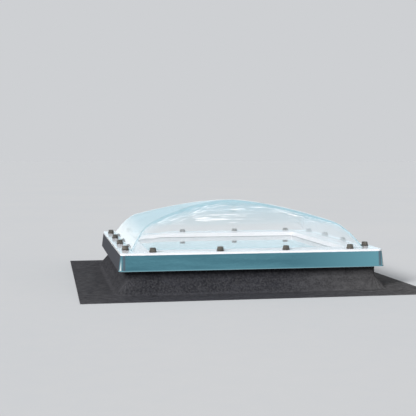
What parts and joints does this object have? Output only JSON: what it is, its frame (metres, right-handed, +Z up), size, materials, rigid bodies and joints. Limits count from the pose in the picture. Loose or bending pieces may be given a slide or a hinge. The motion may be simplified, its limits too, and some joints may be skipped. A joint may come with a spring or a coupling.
{
  "type": "roof skylight",
  "caption": "Square flat-roof skylight: clear dome held by capped screws over a white frame and insulated glass, on an insulated kerb with a dark membrane collar.",
  "frame": {"origin": "middle of the underside, on the roof deck", "axes": "+Z up out of the roof, X and Y along the edges of the square frame, front of the picture at -Y"},
  "size_m": [1.562, 1.562, 0.3899],
  "materials": {
    "dome": "clear moulded sheet, glossy",
    "drip_skirt": "glossy blue-green",
    "top_frame": "satin white",
    "dome_seal": "matt white closed-cell foam",
    "glazing_gasket": "matt pale grey",
    "outer_pane": "clear toughened",
    "spacer_bar": "satin",
    "edge_sealant": "matt",
    "inner_pane": "clear laminated",
    "glazing_tape": "matt",
    "setting_blocks": "matt",
    "kerb": "satin white",
    "fixing_screws": "plated",
    "spacer_sleeves": "plated",
    "sealing_washers": "matt",
    "cap_bases": "satin dark grey",
    "screw_caps": "satin dark grey",
    "membrane": "matt, lightly mottled",
    "membrane_patch": "matt, lightly mottled",
    "cant_foam": "matt fibre board",
    "core_foam": "fine rigid foam"
  },
  "bodies": {
    "root": {"cant_strip_back": "cant_foam", "cant_strip_front": "cant_foam", "cant_strip_left": "cant_foam", "cant_strip_right": "cant_foam", "cap_bases": "cap_bases", "corner_patch_back": "membrane_patch", "corner_patch_front": "membrane_patch", "corner_patch_left": "membrane_patch", "corner_patch_right": "membrane_patch", "dome": "dome", "dome_seal": "dome_seal", "drip_skirt": "drip_skirt", "edge_sealant": "edge_sealant", "fixing_screws": "fixing_screws", "flashing_back": "membrane", "flashing_front": "membrane", "flashing_left": "membrane", "flashing_right": "membrane", "glazing_gasket": "glazing_gasket", "glazing_tape": "glazing_tape", "inner_pane": "inner_pane", "kerb": "kerb", "kerb_core_back": "core_foam", "kerb_core_front": "core_foam", "kerb_core_left": "core_foam", "kerb_core_right": "core_foam", "outer_pane": "outer_pane", "screw_caps": "screw_caps", "sealing_washers": "sealing_washers", "setting_blocks": "setting_blocks", "spacer_bar": "spacer_bar", "spacer_sleeves": "spacer_sleeves", "top_frame": "top_frame"}
  },
  "joints": []
}
